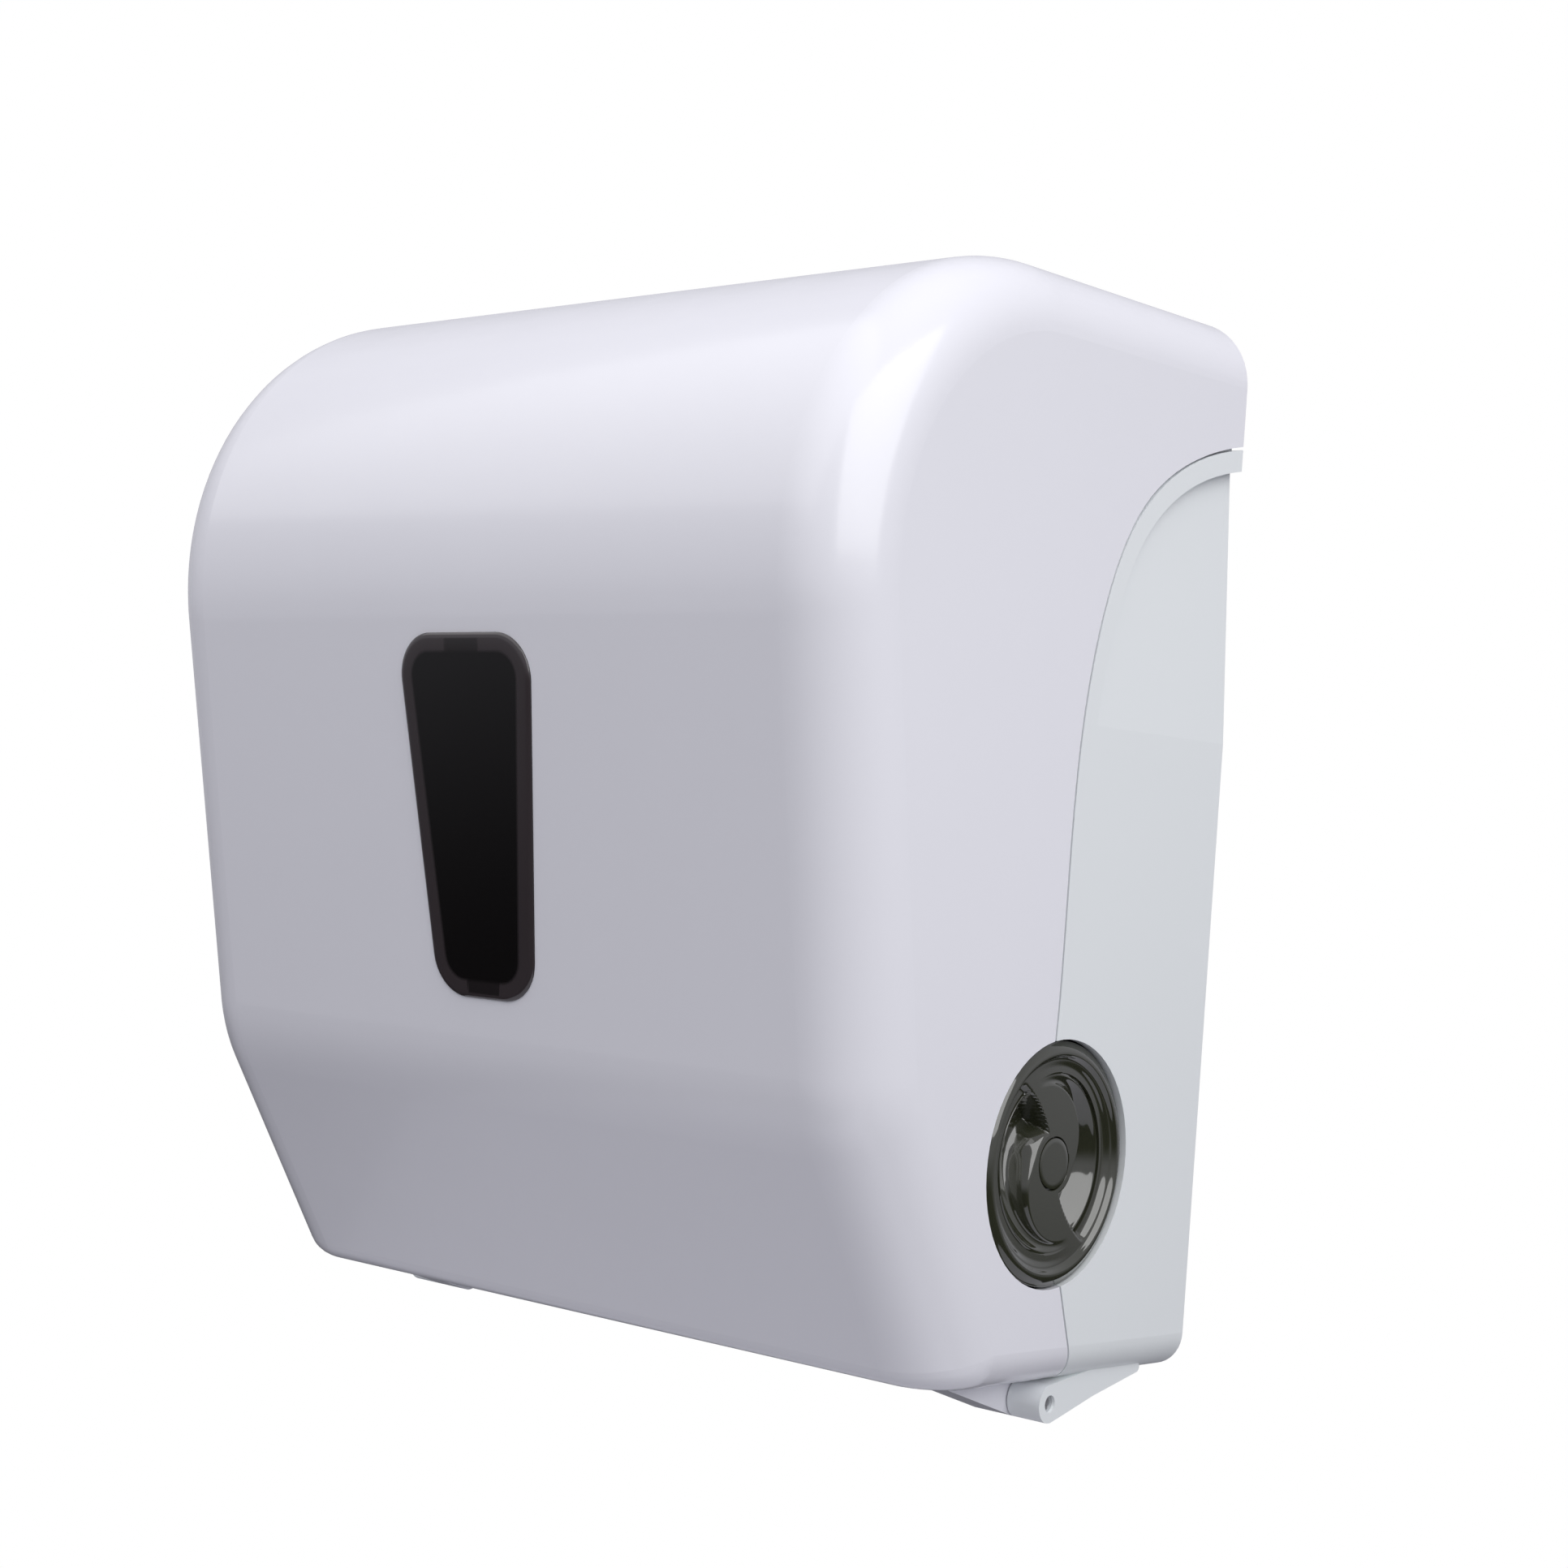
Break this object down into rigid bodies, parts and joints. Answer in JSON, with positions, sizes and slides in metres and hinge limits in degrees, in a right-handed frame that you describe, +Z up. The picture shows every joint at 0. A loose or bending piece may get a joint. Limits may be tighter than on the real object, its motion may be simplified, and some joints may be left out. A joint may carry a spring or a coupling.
{
  "type": "autocut towel dispenser",
  "caption": "Wall-hung white towel dispenser with a hinged cover, smoked window and side knob; a sprung drum with a swinging knife cuts the towel as it is pulled.",
  "frame": {"origin": "centre of the four wall screws on the wall plane", "axes": "X across, right seen from the front; front faces -Y; +Z up; +Y into the wall"},
  "size_m": [0.2796, 0.19, 0.331],
  "materials": {
    "band_rubber": "soft grip rubber",
    "blade_steel": "ground stainless strip",
    "bush_plastic": "natural acetal",
    "cover_white": "glossy moulded ABS",
    "drum_dark": "moulded glass-filled plastic",
    "holder_grey": "moulded plastic",
    "housing_white": "glossy moulded ABS",
    "hub_plastic": "moulded acetal",
    "knob_smoke": "smoked dark green plastic",
    "lock_metal": "plated zinc",
    "mechanism_grey": "moulded acetal",
    "sleeve_rubber": "soft grip rubber",
    "smoke_plastic": "smoked clear plastic",
    "spring_steel": "spring wire",
    "steel": "bright turned steel"
  },
  "bodies": {
    "housing": {"rear_housing": "housing_white", "hinge_pin_left": "steel", "hinge_pin_right": "steel", "frame_left": "mechanism_grey", "frame_right": "mechanism_grey", "bush_left": "bush_plastic", "bush_right": "bush_plastic", "tie_upper": "steel", "tie_lower": "steel", "rear_guide": "mechanism_grey", "exit_chute": "mechanism_grey", "cam_left": "bush_plastic", "cam_right": "bush_plastic", "drive_spring": "spring_steel", "roll_arm_right": "holder_grey", "arm_bracket": "holder_grey", "arm_pin": "steel", "frame_screws": "steel", "arm_screws": "steel", "arm_spring": "spring_steel"},
    "cover": {"front_cover": "cover_white", "window": "smoke_plastic", "lock_barrel": "lock_metal"},
    "lock": {"lock_tongue": "steel"},
    "drum": {"drum_shell_front": "drum_dark", "drum_shell_rear": "drum_dark", "grip_bands": "band_rubber", "drum_end_left": "drum_dark", "drum_end_right": "drum_dark", "knob": "knob_smoke", "knob_cap": "knob_smoke", "crank": "bush_plastic", "knob_screw": "steel"},
    "knife": {"knife_carrier": "mechanism_grey", "knife_blade": "blade_steel", "follower_arm_left": "bush_plastic", "follower_arm_right": "bush_plastic", "blade_screws": "steel"},
    "cam_roller_left": {"follower_roller_left": "steel"},
    "cam_roller_right": {"follower_roller_right": "steel"},
    "pinch_lever": {"pinch_carrier": "mechanism_grey"},
    "pinch": {"pinch_roller": "steel", "pinch_sleeves": "sleeve_rubber"},
    "left_arm": {"roll_arm_left": "holder_grey"},
    "left_hub": {"hub_left": "hub_plastic"},
    "right_hub": {"hub_right": "hub_plastic"}
  },
  "joints": [
    {"name": "cover_hinge", "type": "hinge", "parent": "housing", "child": "cover", "pos_m": [0, -0.064, -0.2035], "axis": [1, 0, 0], "range_deg": [0, 100]},
    {"name": "lock_turn", "type": "hinge", "parent": "cover", "child": "lock", "pos_m": [0, -0.024, 0.105], "axis": [0, 0, 1], "range_deg": [0, 90]},
    {"name": "drum_spin", "type": "hinge", "parent": "housing", "child": "drum", "pos_m": [0, -0.075, -0.134], "axis": [1, 0, 0], "continuous": true, "deforming": ["drive_spring"]},
    {"name": "knife_swing", "type": "hinge", "parent": "drum", "child": "knife", "pos_m": [0, -0.10332, -0.12495], "axis": [1, 0, 0], "range_deg": [0, 22], "stiffness_Nm_per_rad": 0.25, "springref_deg": -11.46},
    {"name": "cam_roller_left_spin", "type": "hinge", "parent": "knife", "child": "cam_roller_left", "pos_m": [-0.112, -0.10325, -0.14107], "axis": [1, 0, 0], "continuous": true},
    {"name": "cam_roller_right_spin", "type": "hinge", "parent": "knife", "child": "cam_roller_right", "pos_m": [0.112, -0.10325, -0.14107], "axis": [1, 0, 0], "continuous": true},
    {"name": "pinch_lift", "type": "hinge", "parent": "housing", "child": "pinch_lever", "pos_m": [0, -0.05638, -0.08183], "axis": [1, 0, 0], "range_deg": [0, 8], "stiffness_Nm_per_rad": 1, "springref_deg": -8.59},
    {"name": "pinch_spin", "type": "hinge", "parent": "pinch_lever", "child": "pinch", "pos_m": [0, -0.03838, -0.10328], "axis": [1, 0, 0], "continuous": true},
    {"name": "left_arm_swing", "type": "hinge", "parent": "housing", "child": "left_arm", "pos_m": [-0.10525, -0.013, 0.023], "axis": [0, 0, -1], "range_deg": [0, 10], "stiffness_Nm_per_rad": 1.2, "deforming": ["arm_spring"]},
    {"name": "left_hub_spin", "type": "hinge", "parent": "left_arm", "child": "left_hub", "pos_m": [-0.095, -0.093, 0.023], "axis": [1, 0, 0], "continuous": true},
    {"name": "right_hub_spin", "type": "hinge", "parent": "housing", "child": "right_hub", "pos_m": [0.095, -0.093, 0.023], "axis": [1, 0, 0], "continuous": true}
  ],
  "couplings": [
    {"joint": "pinch_spin", "follows": "drum_spin", "ratio": -4}
  ]
}
